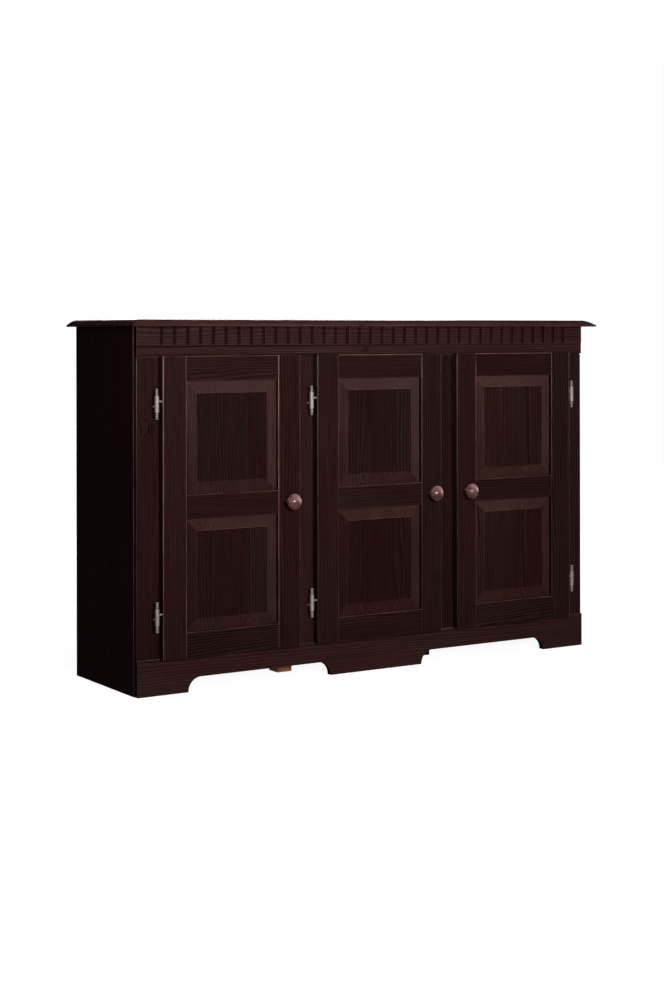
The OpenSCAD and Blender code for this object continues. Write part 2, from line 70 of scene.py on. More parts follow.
# %% Place the camera
CAMERA_PLACE = (-2.4237, -3.7800, 0.8176)
CAMERA_TURN = 32.225
CAMERA_ROLL = -0.095
LENS = 64.757
LENS_SHIFT = -0.16664

view_finder = bpy.data.cameras.new("studio_camera")
view_finder.sensor_fit = "AUTO"
view_finder.sensor_width = 36
view_finder.lens = LENS
view_finder.shift_y = LENS_SHIFT
camera = bpy.data.objects.new("studio_camera", view_finder)
camera.location = CAMERA_PLACE
level = Matrix.Rotation(math.radians(-CAMERA_TURN), 4, "Z") @ Matrix.Rotation(math.radians(90), 4, "X")
camera.rotation_euler = (level @ Matrix.Rotation(math.radians(CAMERA_ROLL), 4, "Z")).to_euler()
bpy.context.collection.objects.link(camera)
bpy.context.scene.camera = camera
bpy.context.scene.view_settings.view_transform = "Standard"
print("camera at", CAMERA_PLACE, "turned", CAMERA_TURN, "degrees")

# %% [markdown]
# Joining nodes
#
# A material is a tree of nodes. Written out, each node takes a line to make it and a line for every
# wire, and the idea is lost among them. So a small helper is used: each call adds one node, wires
# what it is given and hands back the output, so that a pattern reads like a sum.

# %% A helper for node trees
class Tree:
    """Adds nodes to a node tree. An input may be a number, a colour or another node's output."""

    def __init__(self, tree):
        self.tree = tree

    def add(self, kind, settings=None, **inputs):
        node = self.tree.nodes.new(kind)
        for key, value in (settings or {}).items():
            setattr(node, key, value)
        self.give(node, **inputs)
        return node

    def give(self, node, **inputs):
        for key, value in inputs.items():
            self.wire(node.inputs[key.replace("_", " ")], value)

    def wire(self, socket, value):
        if isinstance(value, bpy.types.NodeSocket):
            self.tree.links.new(value, socket)
        else:
            socket.default_value = value

    def math(self, operation, *values):
        node = self.add("ShaderNodeMath", {"operation": operation})
        for socket, value in zip(node.inputs, values):
            self.wire(socket, value)
        return node.outputs[0]

    def times(self, product, *factors):
        for factor in factors:
            product = self.math("MULTIPLY", product, factor)
        return product

    def between(self, value, low, high, to_low=0.0, to_high=1.0):
        """Maps low..high to to_low..to_high with a soft start and end."""
        node = self.add("ShaderNodeMapRange", {"interpolation_type": "SMOOTHSTEP"}, Value=value,
                        From_Min=low, From_Max=high, To_Min=to_low, To_Max=to_high)
        return node.outputs["Result"]

    def noise(self, vector, scale, detail=2.0, roughness=0.5):
        node = self.add("ShaderNodeTexNoise", Vector=vector, Scale=scale, Detail=detail, Roughness=roughness)
        return node.outputs["Fac"]

    def stretch(self, vector, amounts):
        node = self.add("ShaderNodeVectorMath", {"operation": "MULTIPLY"})
        self.wire(node.inputs[0], vector)
        node.inputs[1].default_value = amounts
        return node.outputs[0]

    def split(self, vector):
        return self.add("ShaderNodeSeparateXYZ", Vector=vector).outputs

    def join(self, x, y, z):
        return self.add("ShaderNodeCombineXYZ", X=x, Y=y, Z=z).outputs[0]

    def blend(self, factor, first, second, how="MIX"):
        node = self.add("ShaderNodeMix", {"data_type": "RGBA", "blend_type": how})
        for key, value in ((0, factor), (6, first), (7, second)):
            self.wire(node.inputs[key], value)
        return node.outputs[2]

    def emboss(self, shader, height, strength, distance):
        """Lets a pattern of heights bend the light on the surface."""
        bump = self.add("ShaderNodeBump", Height=height, Strength=strength, Distance=distance)
        self.give(shader, Normal=bump.outputs[0])


def empty_tree(owner):
    """Clears the nodes that a new material or world comes with."""
    owner.use_nodes = True
    owner.node_tree.nodes.clear()
    return Tree(owner.node_tree)


def new_material(name):
    """Returns a new material, its tree and its shader."""
    material = bpy.data.materials.new(name)
    tree = empty_tree(material)
    shader = tree.add("ShaderNodeBsdfPrincipled")
    tree.add("ShaderNodeOutputMaterial", Surface=shader.outputs["BSDF"])
    return material, tree, shader


print("node helper ready")

# %% [markdown]
# A white studio
#
# The piece stands in front of plain white. Bright walls all round would wash over the dark lacquer
# like fog, so the room itself is dim, and only what the camera sees of it is white: the world asks
# the light path whether a ray comes from the camera. The screen behind the piece and the floor are
# real surfaces. They look white to the camera, and the nickel and the lacquer mirror them too, the
# screen at its full strength and the floor at a lower one, because dark lacquer shows every glow.
# The floor adds its lit colour to that glow, which is a little weaker near the piece, so that the
# shadow stays. Mirrored, the floor is only its glow.

# %% World, screen and floor
ROOM_GLOW = 0.006
FLOOR_RADIUS = 3.0
FLOOR_GLOW_NEAR, FLOOR_GLOW_FAR = 0.94, 1.0
NEAR, FAR = 0.9, 2.0
FLOOR_MIRRORED = 0.012
FLOOR_COLOUR = (0.30, 0.30, 0.30, 1)
SCREEN_LEFT, SCREEN_RIGHT, SCREEN_BACK, SCREEN_HEIGHT = 1.8, 12.0, 7.0, 3.5
SCREEN_SUNK = 0.5
SCREEN_COLOUR = (0.1, 0.1, 0.1, 1)
UNLIT = (0, 0, 0, 1)


def light_rays(tree, *kinds):
    """Is 1 for rays of the named kinds and 0 for the others."""
    path = tree.add("ShaderNodeLightPath")
    total = path.outputs[kinds[0]]
    for kind in kinds[1:]:
        total = tree.math("MAXIMUM", total, path.outputs[kind])
    return total


world = bpy.data.worlds.new("studio_room")
room = empty_tree(world)
seen = light_rays(room, "Is Camera Ray", "Is Transmission Ray")
room_light = room.add("ShaderNodeBackground", Color=(1, 1, 1, 1),
                      Strength=room.between(seen, 0, 1, ROOM_GLOW, 1))
room.add("ShaderNodeOutputWorld", Surface=room_light.outputs[0])
bpy.context.scene.world = world


def studio_surface(name, colour, glow_near, glow_far, mirrored):
    """A matt surface that glows for the rays that see it, and stays plain for the light it sends on."""
    material = bpy.data.materials.new(name)
    tree = empty_tree(material)
    shown = light_rays(tree, "Is Camera Ray", "Is Transmission Ray")
    shown = tree.math("MULTIPLY_ADD", light_rays(tree, "Is Glossy Ray"), mirrored, shown)
    place = tree.add("ShaderNodeTexCoord").outputs["Object"]
    away = tree.add("ShaderNodeVectorMath", {"operation": "LENGTH"})
    tree.wire(away.inputs[0], place)
    steady = tree.between(away.outputs["Value"], NEAR, FAR, glow_near, glow_far)
    lit = tree.blend(light_rays(tree, "Is Glossy Ray"), colour, UNLIT)
    matt = tree.add("ShaderNodeBsdfDiffuse", Color=lit)
    glow = tree.add("ShaderNodeEmission", Strength=tree.times(shown, steady))
    both = tree.add("ShaderNodeAddShader")
    tree.wire(both.inputs[0], matt.outputs[0])
    tree.wire(both.inputs[1], glow.outputs[0])
    tree.add("ShaderNodeOutputMaterial", Surface=both.outputs[0])
    return material


def mesh_object(name, shape):
    """Turns a finished bmesh into an object at the origin."""
    mesh = bpy.data.meshes.new(name)
    shape.to_mesh(mesh)
    shape.free()
    made = bpy.data.objects.new(name, mesh)
    bpy.context.collection.objects.link(made)
    return made


shape = bmesh.new()
bmesh.ops.create_circle(shape, cap_ends=True, segments=96, radius=FLOOR_RADIUS)
floor = mesh_object("studio_floor", shape)
floor.data.materials.append(studio_surface("floor_paper", FLOOR_COLOUR, FLOOR_GLOW_NEAR, FLOOR_GLOW_FAR,
                                           FLOOR_MIRRORED))

shape = bmesh.new()
bmesh.ops.create_grid(shape, x_segments=1, y_segments=1, size=0.5)
bmesh.ops.scale(shape, vec=(SCREEN_RIGHT - SCREEN_LEFT, SCREEN_HEIGHT, 1), verts=shape.verts)
bmesh.ops.rotate(shape, matrix=Matrix.Rotation(math.radians(90), 3, "X"), verts=shape.verts)
middle = Vector(((SCREEN_LEFT + SCREEN_RIGHT) / 2, SCREEN_BACK, SCREEN_HEIGHT / 2 - SCREEN_SUNK))
bmesh.ops.translate(shape, vec=middle, verts=shape.verts)
screen = mesh_object("studio_screen", shape)
screen.data.materials.append(studio_surface("screen_cloth", SCREEN_COLOUR, 1.0, 1.0, 1.0))
print("floor radius", FLOOR_RADIUS, "- screen", SCREEN_RIGHT - SCREEN_LEFT, "wide")

# %% [markdown]
# The lamps
#
# One large soft lamp stands in front of the piece and a little to its left. It lights the front evenly
# and lets the light fall off towards the plinth and to the right. It stands where flat lacquer can't
# mirror it to the camera, so the fronts stay deep in colour. It hangs hardly higher than the piece,
# so that the top board throws no shadow on the frieze, and a grid narrows its light. A weak lamp hangs
# over the top board, one stands far behind the piece for those who walk round it, and a small one
# stands close to the side, so that its light fades towards the back and the floor. Behind the
# camera stands a large dim card, to its left a low one, and to the right a narrow upright lamp:
# rounded edges, knobs and hinges mirror a whole fan of directions, and find a bright shape in it.

# %% Hang the lamps
# Name, place, target, width, height, power and spread in degrees
LAMPS = (
    ("front_lamp", (-0.72, -2.90, 0.97), (0.00, -0.15, 0.82), 0.9, 0.7, 15.9, 90),
    ("top_lamp", (-0.90, -0.90, 3.00), (-0.20, -0.10, 0.80), 1.2, 1.2, 5, 180),
    ("camera_card", (-3.10, -4.90, 0.90), (-0.20, -0.15, 0.50), 2.0, 2.0, 10, 180),
    ("low_card", (-2.25, -1.85, 0.35), (-0.60, -0.15, 0.30), 0.9, 0.7, 2, 180),
    ("side_lamp", (-1.28, -0.52, 1.00), (-0.65, -0.12, 0.80), 0.25, 0.25, 0.9, 180),
    ("right_strip", (3.20, -0.75, 1.10), (0.00, -0.15, 0.45), 0.35, 1.5, 20, 180),
    ("back_lamp", (1.60, 3.00, 1.40), (0.00, 0.20, 0.45), 1.6, 1.0, 34, 180),
)


def area_lamp(name, place, target, width, height, power, spread):
    """A soft rectangular lamp that points from place to target. The camera doesn't see it."""
    data = bpy.data.lights.new(name, "AREA")
    data.shape = "RECTANGLE"
    data.size, data.size_y = width, height
    data.energy, data.spread = power, math.radians(spread)
    lamp = bpy.data.objects.new(name, data)
    lamp.visible_camera = False
    lamp.location = place
    lamp.rotation_euler = (Vector(target) - Vector(place)).to_track_quat("-Z", "Y").to_euler()
    bpy.context.collection.objects.link(lamp)


for lamp in LAMPS:
    area_lamp(*lamp)
print("lamps:", ", ".join(lamp[0] for lamp in LAMPS))

# %% [markdown]
# The figure of pine
#
# A board is a slice of a log, and its grain is the log's yearly rings where the saw met them. This
# could be painted as stripes, but stripes are wrong on the ends and edges of a board. Here the rings
# are solid instead: the pattern works out how far each point lies from the heart of the log, and
# whatever cuts through it, a face, a bevel or an end, shows the grain that it should. Wide boards are
# glued up from staves, so each stave gets a log of its own. A knot pushes the rings aside.

# %% Rings, fibres, staves and knots
RING_WIDTH = 4.4 * MM

# The heart of the log lies at least this far beside and below the face, and chance adds the rest
HEART_ASIDE, HEART_ASIDE_MORE = 46 * MM, 70 * MM
HEART_DEPTH, HEART_DEPTH_MORE = 34 * MM, 50 * MM

# How far the log leans sideways and rises, per metre of its length
LOG_LEAN, LOG_RISE = 0.03, 0.05

# How far slow bends and ripples push the rings, and how far a knot does, for a radius of one
BEND, RIPPLE, KNOT_PUSH = 18 * MM, 1.8 * MM, 1.6

# A knot is an upright oval: a height counts this much in its squared distance
KNOT_LENGTH_SHARE = 0.45
FIGURE_INPUTS = (("Point", "NodeSocketVector"), ("Seed", "NodeSocketFloat"),
                 ("Stave Width", "NodeSocketFloat"), ("Knot", "NodeSocketVector"),
                 ("Knot Radius", "NodeSocketFloat"))
FIGURE_OUTPUTS = ("Late Wood", "Fibre", "Tone", "Knot")


def pine_figure():
    """Makes the node group. Its point has X across the face, Y into the board and Z along the grain."""
    group = bpy.data.node_groups.new("pine_figure", "ShaderNodeTree")
    for name, kind in FIGURE_INPUTS:
        group.interface.new_socket(name, in_out="INPUT", socket_type=kind)
    for name in FIGURE_OUTPUTS:
        group.interface.new_socket(name, in_out="OUTPUT", socket_type="NodeSocketFloat")
    tree = Tree(group)
    given = tree.add("NodeGroupInput").outputs
    across, deep, along = tree.split(given["Point"])

    # Each stave draws three chance numbers: where its heart lies, how it leans and how dark it is
    stave = tree.math("ROUND", tree.math("DIVIDE", across, given["Stave Width"]))
    chance = tree.add("ShaderNodeTexWhiteNoise", {"noise_dimensions": "1D"},
                      W=tree.math("ADD", stave, given["Seed"]))
    side, depth, lean = tree.split(chance.outputs["Color"])
    inside = tree.math("SUBTRACT", across, tree.times(stave, given["Stave Width"]))
    off = tree.math("SUBTRACT", side, 0.5)
    least = tree.times(tree.math("SIGN", off), HEART_ASIDE)
    shift = tree.math("MULTIPLY_ADD", off, HEART_ASIDE_MORE, least)
    slope = tree.times(tree.math("SUBTRACT", lean, 0.5), LOG_LEAN)
    heart_x = tree.math("ADD", tree.math("ADD", inside, shift), tree.times(along, slope))
    climb = tree.times(tree.math("SUBTRACT", depth, 0.5), LOG_RISE)
    least = tree.math("MULTIPLY_ADD", depth, HEART_DEPTH_MORE, HEART_DEPTH)
    heart_y = tree.math("ADD", deep, tree.math("MULTIPLY_ADD", along, climb, least))

    # Slow bends of the trunk, and the swelling round a knot
    seat = tree.join(tree.math("ADD", across, given["Seed"]), deep, along)
    bend = tree.noise(tree.stretch(seat, (9, 9, 2.4)), 1.0, 3.0)
    ripple = tree.noise(tree.stretch(seat, (60, 60, 9)), 1.0, 2.0)
    radius = tree.math("SQRT", tree.math("ADD", tree.times(heart_x, heart_x), tree.times(heart_y, heart_y)))
    away = tree.add("ShaderNodeVectorMath", {"operation": "SUBTRACT"})
    tree.wire(away.inputs[0], given["Point"])
    tree.wire(away.inputs[1], given["Knot"])
    knot_x, _, knot_z = tree.split(away.outputs[0])
    tall = tree.times(knot_z, knot_z, KNOT_LENGTH_SHARE)
    knot_far = tree.math("SQRT", tree.math("ADD", tree.times(knot_x, knot_x), tall))
    knot_share = tree.math("DIVIDE", knot_far, tree.math("MAXIMUM", given["Knot Radius"], 1e-5))
    swell = tree.times(tree.between(knot_share, 0.4, 4.0, 1.0, 0.0), given["Knot Radius"])
    for push, reach in ((bend, BEND), (ripple, RIPPLE), (swell, KNOT_PUSH)):
        radius = tree.math("MULTIPLY_ADD", push, reach, radius)

    # Early wood fades slowly into a narrow dark line of late wood, which ends at once
    year = tree.math("FRACT", tree.math("DIVIDE", radius, RING_WIDTH))
    late = tree.times(tree.between(year, 0.30, 0.86), tree.between(year, 0.90, 1.0, 1.0, 0.0))
    fine = tree.noise(tree.stretch(seat, (1500, 1500, 26)), 1.0, 2.0, 0.6)
    coarse = tree.noise(tree.stretch(seat, (230, 230, 5)), 1.0, 3.0, 0.6)
    fibre = tree.math("MULTIPLY_ADD", fine, 0.45, tree.times(coarse, 0.55))
    cloud = tree.noise(tree.stretch(seat, (14, 14, 3.5)), 1.0, 2.0)
    tone = tree.math("MULTIPLY_ADD", cloud, 0.65, tree.times(side, 0.35))
    knot = tree.between(knot_share, 0.75, 1.25, 1.0, 0.0)

    answer = tree.add("NodeGroupOutput")
    for name, value in zip(FIGURE_OUTPUTS, (late, fibre, tone, knot)):
        tree.wire(answer.inputs[name], value)
    return group


PINE = pine_figure()
print("pine figure:", len(PINE.nodes), "nodes, rings", RING_WIDTH / MM, "mm wide")

# %% [markdown]
# Dark stain under satin lacquer
#
# The stain is thin, so the figure still shows through it. Late wood is hard and takes little stain,
# soft early wood drinks it, and on a dark stain the two nearly meet: the rings stay as fine darker
# lines. Sanding thins the colour on every rounded edge, and a painted highlight makes those edges
# paler still. Open end grain drinks more and goes nearly black. Painted light makes the bevels that
# look up or to the right lighter, and painted shade darkens grooves, inner corners, faces that look
# down and the sides of the door stiles. The normal of the surface tells which is which: on a flat face
# it points along one axis, on a rounded edge along two, and at the end of a board along the grain.

# %% The stained pine
# Early wood has two tones. Worn wood is nearly bare and is also a painted highlight, end grain also
# serves as painted shade, and two colours are painted shade and painted light on bevels
EARLY_RED = (0.0310, 0.0100, 0.0092, 1)
EARLY_BROWN = (0.0255, 0.0114, 0.0098, 1)
LATE = (0.0092, 0.0032, 0.0031, 1)
WORN_AND_HIGHLIT = (0.260, 0.125, 0.108, 1)
END_GRAIN_AND_SHADE = (0.0065, 0.0026, 0.0026, 1)
PAINTED_SHADE = (0.0080, 0.0026, 0.0026, 1)
LIT_BEVEL = (0.052, 0.031, 0.032, 1)
GLOSS_TINT = (1.0, 0.72, 0.66, 1)

# Tint and light, and edge wear with painted highlight, of a board that has none of its own, and a
# stave wider than any board
EVEN_TINT = (1.0, 1.0, 1.0)
EVEN_WEAR_AND_HIGHLIGHT = (0.35, 0.35, 0.35, 0.17)
ONE_STAVE = 10.0

# How strongly the lacquer mirrors: satin, rubbed down on the panels, and a single thin coat on the frieze
SATIN, RUBBED_DOWN, THIN_COAT = 0.30, 0.02, 0.10

# How much lighter than the field a sanded bevel is, how much more painted light adds, and its share of colour
BEVEL_LEAST, BEVEL_MORE, LIT_BEVEL_SHARE = 0.52, 1.1, 0.50

# How softly the painted shade sets in behind the face of a groove, and at the rims of a band
GROOVE_FADE, BAND_FADE = 2 * MM, 0.5 * MM

# Which way X, Y and Z of the figure run on a board of each kind
LAYS = {
    "upright": ((1, 0, 0), (0, 1, 0), (0, 0, 1)),
    "side": ((0, 1, 0), (-1, 0, 0), (0, 0, 1)),
    "rail": ((0, 0, 1), (0, 1, 0), (-1, 0, 0)),
    "flat": ((0, 1, 0), (0, 0, 1), (1, 0, 0)),
}


def figured(tree, seen, lay, middle, seed, stave, knot=None):
    """Lays the pine figure on a board and returns late wood, fibre, tone and knot."""
    turn = Matrix(LAYS[lay])
    lie = tree.add("ShaderNodeMapping", Vector=seen["Object"], Rotation=turn.to_euler(),
                   Location=-(turn @ middle))
    figure = tree.add("ShaderNodeGroup", {"node_tree": PINE}, Point=lie.outputs[0], Seed=seed,
                      Stave_Width=stave)
    if knot:
        tree.give(figure, Knot=turn @ (Vector(knot[0]) - middle), Knot_Radius=knot[1])
    return figure.outputs


def on_ends(tree, normal, lay):
    """Is 1 where a surface cuts across the grain."""
    facing = tree.add("ShaderNodeVectorMath", {"operation": "DOT_PRODUCT"})
    tree.wire(facing.inputs[0], normal)
    facing.inputs[1].default_value = Matrix(LAYS[lay])[2]
    return tree.between(tree.math("ABSOLUTE", facing.outputs["Value"]), 0.85, 0.98)


def worn_and_highlit_edges(tree, nx, ny, nz, height, wear_and_highlight):
    """How pale, from wear and painted highlight, the rounded front edges are that look left, right, up and
    down.
    """
    across, upward = tree.times(nx, ny), tree.times(nz, ny)

    # The pale edges that look left grow fainter towards the floor
    looks_right = tree.math("LESS_THAN", across, 0)
    rubbed_and_lit = tree.math("MAXIMUM", tree.between(height, 0.2, 0.7, 0.55, 1.1), looks_right)
    across = tree.times(across, rubbed_and_lit)
    left, right, up, down = wear_and_highlight
    worn = 0.0
    for lean, sign, amount in ((across, 1, left), (across, -1, right), (upward, -1, up), (upward, 1, down)):
        edge = tree.between(tree.times(lean, sign), 0.10, 0.36, 0.0, amount)
        worn = tree.math("MAXIMUM", worn, edge)
    return worn


def bevel_sanding_and_light(tree, nx, nz, height, sloping):
    """How much painted light lies on the bevels of a panel, and how much lighter they are than its field."""
    # Painted light: stronger where a bevel looks up or to the right and higher up; painted shade where it
    # looks left
    lean = tree.math("MULTIPLY_ADD", nz, 3.0, tree.math("MULTIPLY_ADD", nx, 1.5, 0.3))
    lean = tree.math("MINIMUM", tree.math("MAXIMUM", lean, 0), 1)
    thin = tree.times(sloping, lean, tree.between(height, 0.30, 0.60, 0.25, 1.0))
    rest = tree.times(sloping, tree.between(nx, -0.15, -0.02, 0.30, 1.0))
    lighter = tree.math("MULTIPLY_ADD", thin, BEVEL_MORE, tree.math("MULTIPLY_ADD", rest, BEVEL_LEAST, 1.0))
    return thin, lighter


def shade_grooves_and_bands(tree, colour, place, nx, grooved_from, corners):
    """Painted shade: darkens what lies behind Y = grooved_from, and a band below each inner corner."""
    x, y, z = place
    if grooved_from is not None:
        deep = tree.between(y, grooved_from, grooved_from + GROOVE_FADE)
        wall = tree.between(tree.math("ABSOLUTE", nx), 0.6, 0.9, 0.75, 1.0)
        colour = tree.blend(tree.times(deep, wall), colour, PAINTED_SHADE)
    for top, width in corners:
        above = tree.between(z, top - width, top - width + BAND_FADE)
        below = tree.between(z, top - BAND_FADE, top, 1.0, 0.0)
        fade = tree.between(x, -0.3, 0.5, 0.85, 0.4)
        colour = tree.blend(tree.times(above, below, fade), colour, PAINTED_SHADE)
    return colour


def stained_pine(name, lay, middle, seed, stave=ONE_STAVE, tint_and_light=EVEN_TINT, wear_and_highlight=EVEN_WEAR_AND_HIGHLIGHT, gloss=SATIN,
                 panel=False, shaded_sides=False, grooved_from=None, corners=(), knot=None):
    """A stained board, whose grain lies as lay says. A panel has light bevels, and the sides of a door stile
    are darkened as painted shade.
    """
    material, tree, shader = new_material(name)
    seen = tree.add("ShaderNodeTexCoord").outputs
    late, fibre, tone, knotty = figured(tree, seen, lay, middle, seed, stave, knot)
    place = tree.split(seen["Object"])
    nx, ny, nz = tree.split(seen["Normal"])

    soft = tree.blend(tree.between(tone, 0.3, 0.7), EARLY_RED, EARLY_BROWN)
    streak = tree.times(late, tree.between(tone, 0.25, 0.75, 0.55, 0.90))
    shade = tree.times(tree.between(tone, 0.2, 0.8, 0.80, 1.22), tree.between(fibre, 0.2, 0.8, 0.55, 1.45),
                       tree.between(knotty, 0, 1, 1.0, 0.60))
    if panel:
        sloping = tree.between(tree.math("ABSOLUTE", ny), 0.990, 0.999, 1.0, 0.0)
        streak = tree.times(streak, tree.math("MULTIPLY_ADD", sloping, -0.10, 1.0))
        thin, lighter = bevel_sanding_and_light(tree, nx, nz, place[2], sloping)
        shade = tree.times(shade, lighter)
    colour = tree.blend(streak, soft, LATE)
    # Each board's tint holds its stain and painted light and shade for how brightly it is lit
    tinted_and_lit = tree.join(*(tree.times(shade, part) for part in tint_and_light))
    colour = tree.blend(1.0, colour, tinted_and_lit, "MULTIPLY")
    if panel:
        colour = tree.blend(tree.times(thin, LIT_BEVEL_SHARE), colour, LIT_BEVEL)
    # Painted shade in the grooves and in the bands below inner corners
    colour = shade_grooves_and_bands(tree, colour, place, nx, grooved_from, corners)
    if not panel:
        colour = tree.blend(tree.times(on_ends(tree, seen["Normal"], lay), 0.8), colour, END_GRAIN_AND_SHADE)
    # Painted shade darkens the sides of a door stile, in the gap beside the frame
    if shaded_sides:
        colour = tree.blend(tree.between(tree.math("ABSOLUTE", nx), 0.9, 0.99, 0.0, 0.75), colour, END_GRAIN_AND_SHADE)

    # On a panel, painted shade darkens the faces under the shoulder of the field, and a painted highlight
    # lightens the faces that look up
    worn = worn_and_highlit_edges(tree, nx, ny, nz, place[2], wear_and_highlight)
    if panel:
        colour = tree.blend(tree.between(nz, -0.7, -0.3, 1.0, 0.0), colour, PAINTED_SHADE)
        worn = tree.math("MAXIMUM", worn, tree.between(nz, 0.3, 0.7))
    # The pale edges are bare worn wood and a painted highlight, patchy along their length
    rubbed_and_lit = tree.noise(tree.stretch(seen["Object"], (12, 12, 12)), 1.0, 2.0)
    worn = tree.times(worn, tree.between(rubbed_and_lit, 0.35, 0.65, 0.65, 1.25),
                      tree.between(fibre, 0.25, 0.75, 0.55, 1.0))
    tree.give(shader, Base_Color=tree.blend(worn, colour, WORN_AND_HIGHLIT))

    # Late wood stands up a little under the lacquer, and shines more
    tree.give(shader, Specular_IOR_Level=gloss, Specular_Tint=GLOSS_TINT)
    shine = tree.between(late, 0, 1, 0.21, 0.16)
    tree.give(shader, Roughness=tree.math("MULTIPLY_ADD", fibre, 0.10, shine))
    relief = tree.math("MULTIPLY_ADD", fibre, 0.6, tree.times(late, 0.4))
    tree.emboss(shader, relief, 0.30, 0.25 * MM)
    return material


def dress(node, material):
    """Gives a board of the model its material."""
    finish = nodes[node].data.materials
    finish.clear()
    finish.append(material)


def middle_of(node):
    low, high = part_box(node)
    return (low + high) / 2


print("stain", EARLY_RED[:3], "late wood", LATE[:3])

# %% [markdown]
# One board, one log
#
# Two boards of a real cupboard never show the same grain. So each board gets a material of its own,
# with a seed that comes from its name, and the figure lies the way that the joiner would lay it:
# upright in the stiles, along the rails, the frieze and the plinth, and along the top and shelves.

# %% Stain the boards
GLUED_STAVE, PANEL_STAVE = 92 * MM, 84 * MM

# Middle and radius of the knots that show
KNOTS = {"stile_left": ((-0.608, -0.1335, 0.602), 9 * MM),
         "frieze": ((-0.030, -0.1375, 0.778), 6 * MM),
         "top_board": ((-0.060, -0.1685, 0.838), 6 * MM)}

# Painted shade darkens the grooves of the frieze, its step below the dentils, and a band above the doors
DENTIL_HEIGHT = 42 * MM
frieze_low, frieze_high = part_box("frieze")
GROOVES = {"frieze": frieze_low.y + 1.5 * MM}
CORNERS = {"frieze": ((frieze_high.z - DENTIL_HEIGHT - 1.5 * MM, 3.5 * MM),
                      (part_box("door_left_hinge_stile")[1].z + 2.5 * MM, 3 * MM))}

# How much of its red, green and blue a board sends back, partly where the stain took differently and
# partly as painted light and shade, for how brightly the board is lit
TINT_AND_LIGHT = {"frieze": (1.76, 2.02, 2.12), "top_board": (3.2, 2.65, 3.1), "plinth": (1.70, 1.98, 2.0),
        "side_left": (1.0, 0.85, 1.2), "stile_left": (0.95, 0.80, 0.82), "stile_right": (1.12, 1.2, 1.28),
        "mullion_left": (1.32, 1.45, 1.45), "mullion_right": (0.9, 1.0, 0.97),
        "door_left_hinge_stile": (1.0, 0.85, 0.9), "door_left_lock_stile": (0.96, 0.85, 0.9),
        "door_left_bottom_rail": (0.8, 0.8, 0.8), "door_left_upper_panel": (0.96, 0.98, 1.05),
        "door_left_lower_panel": (1.02, 1.15, 1.12), "door_middle_lock_stile": (0.92, 0.92, 0.98),
        "door_middle_upper_panel": (1.05, 1.2, 1.25), "door_right_lock_stile": (1.08, 0.88, 0.95),
        "door_right_hinge_stile": (0.95, 1.0, 0.98), "door_right_upper_panel": (1.32, 1.32, 1.36),
        "door_right_lower_panel": (1.2, 1.2, 1.2)}

# How pale the edges of a board are that look left, right, up and down, from wear and painted highlight
WEAR_AND_HIGHLIGHT = {"door_left_hinge_stile": (1.2, 1.25, 1.6, 0.2), "door_left_lock_stile": (1.0, 0.52, 1.0, 0.2),
        "door_middle_hinge_stile": (0.22, 0.45, 0.5, 0.2), "door_middle_lock_stile": (0.23, 0.55, 0.9, 0.2),
        "door_right_lock_stile": (0.12, 1.5, 0.9, 0.2), "door_right_hinge_stile": (0.17, 1.3, 0.5, 0.2),
        "door_left_top_rail": (0.35, 0.35, 0.55, 0.17), "door_middle_top_rail": (0.35, 0.35, 1.3, 0.17),
        "door_right_top_rail": (0.35, 0.35, 1.2, 0.17), "stile_left": (0.08, 0.3, 0.3, 0.17),
        "side_left": (0.5, 0.35, 0.35, 0.17), "top_board": (0.35, 0.35, 0.12, 0.12),
        "frieze": (0.55, 0.5, 0.35, 0.2), "plinth": (1.6, 0.35, 1.5, 0.17)}


def seed_of(name):
    return random.Random(name).uniform(2, 90)


def lay_of(node):
    if node.startswith(("side_", "partition_")):
        return "side"
    if node.endswith(("_rail", "frieze", "plinth")):
        return "rail"
    if node.startswith(("top_", "bottom_", "shelf_")):
        return "flat"
    return "upright"


slots = {part["node"]: part["material_slot"] for part in frame["record"]["subparts"]}
# The right foot gets the dark stain as painted shade, for it stands deep under an arch
FOOT_IN_SHADE = "support_foot_right"
stained = [n for n in sorted(nodes) if slots[n] == "stained_pine" or n == FOOT_IN_SHADE]
for node in stained:
    glued = lay_of(node) in ("side", "flat")
    dress(node, stained_pine(node + "_stain", lay_of(node), middle_of(node), seed_of(node),
                             stave=GLUED_STAVE if glued else ONE_STAVE,
                             tint_and_light=TINT_AND_LIGHT.get(node, EVEN_TINT), wear_and_highlight=WEAR_AND_HIGHLIGHT.get(node, EVEN_WEAR_AND_HIGHLIGHT),
                             gloss=THIN_COAT if node == "frieze" else SATIN,
                             shaded_sides=node.startswith("door_") and node.endswith("_stile"),
                             grooved_from=GROOVES.get(node), corners=CORNERS.get(node, ()),
                             knot=KNOTS.get(node)))
print("stained boards:", len(stained))

# %% [markdown]
# The raised panels
#
# A panel is glued up from two or three staves, and its field is darker than the bevels round it. The
# cutter leaves the bevels smooth, and they were sanded once more before the stain. Painted light makes
# the bevels that look up or to the right lighter still, more so higher up, and painted shade darkens
# those that look left and the faces below the shoulder of the field.

# %% Stain the panels
PANELS_DARKER = 0.86
panels = [n for n in sorted(nodes) if slots[n] == "panel_pine"]
for node in panels:
    dress(node, stained_pine(node + "_stain", "upright", middle_of(node), seed_of(node), stave=PANEL_STAVE,
                             tint_and_light=[PANELS_DARKER * part for part in TINT_AND_LIGHT.get(node, EVEN_TINT)],
                             gloss=RUBBED_DOWN, panel=True))
print("panels:", len(panels))

# %% [markdown]
# Boards without lacquer
#
# Nobody lacquers what nobody sees. The thin back got one coat of stain and stayed matt. The feet
# under the bottom board are offcuts. One of them is bare and shows the colour of the wood itself,
# orange with darker rings. The other stands deep under an arch and gets the dark stain of the boards
# instead, as painted shade.

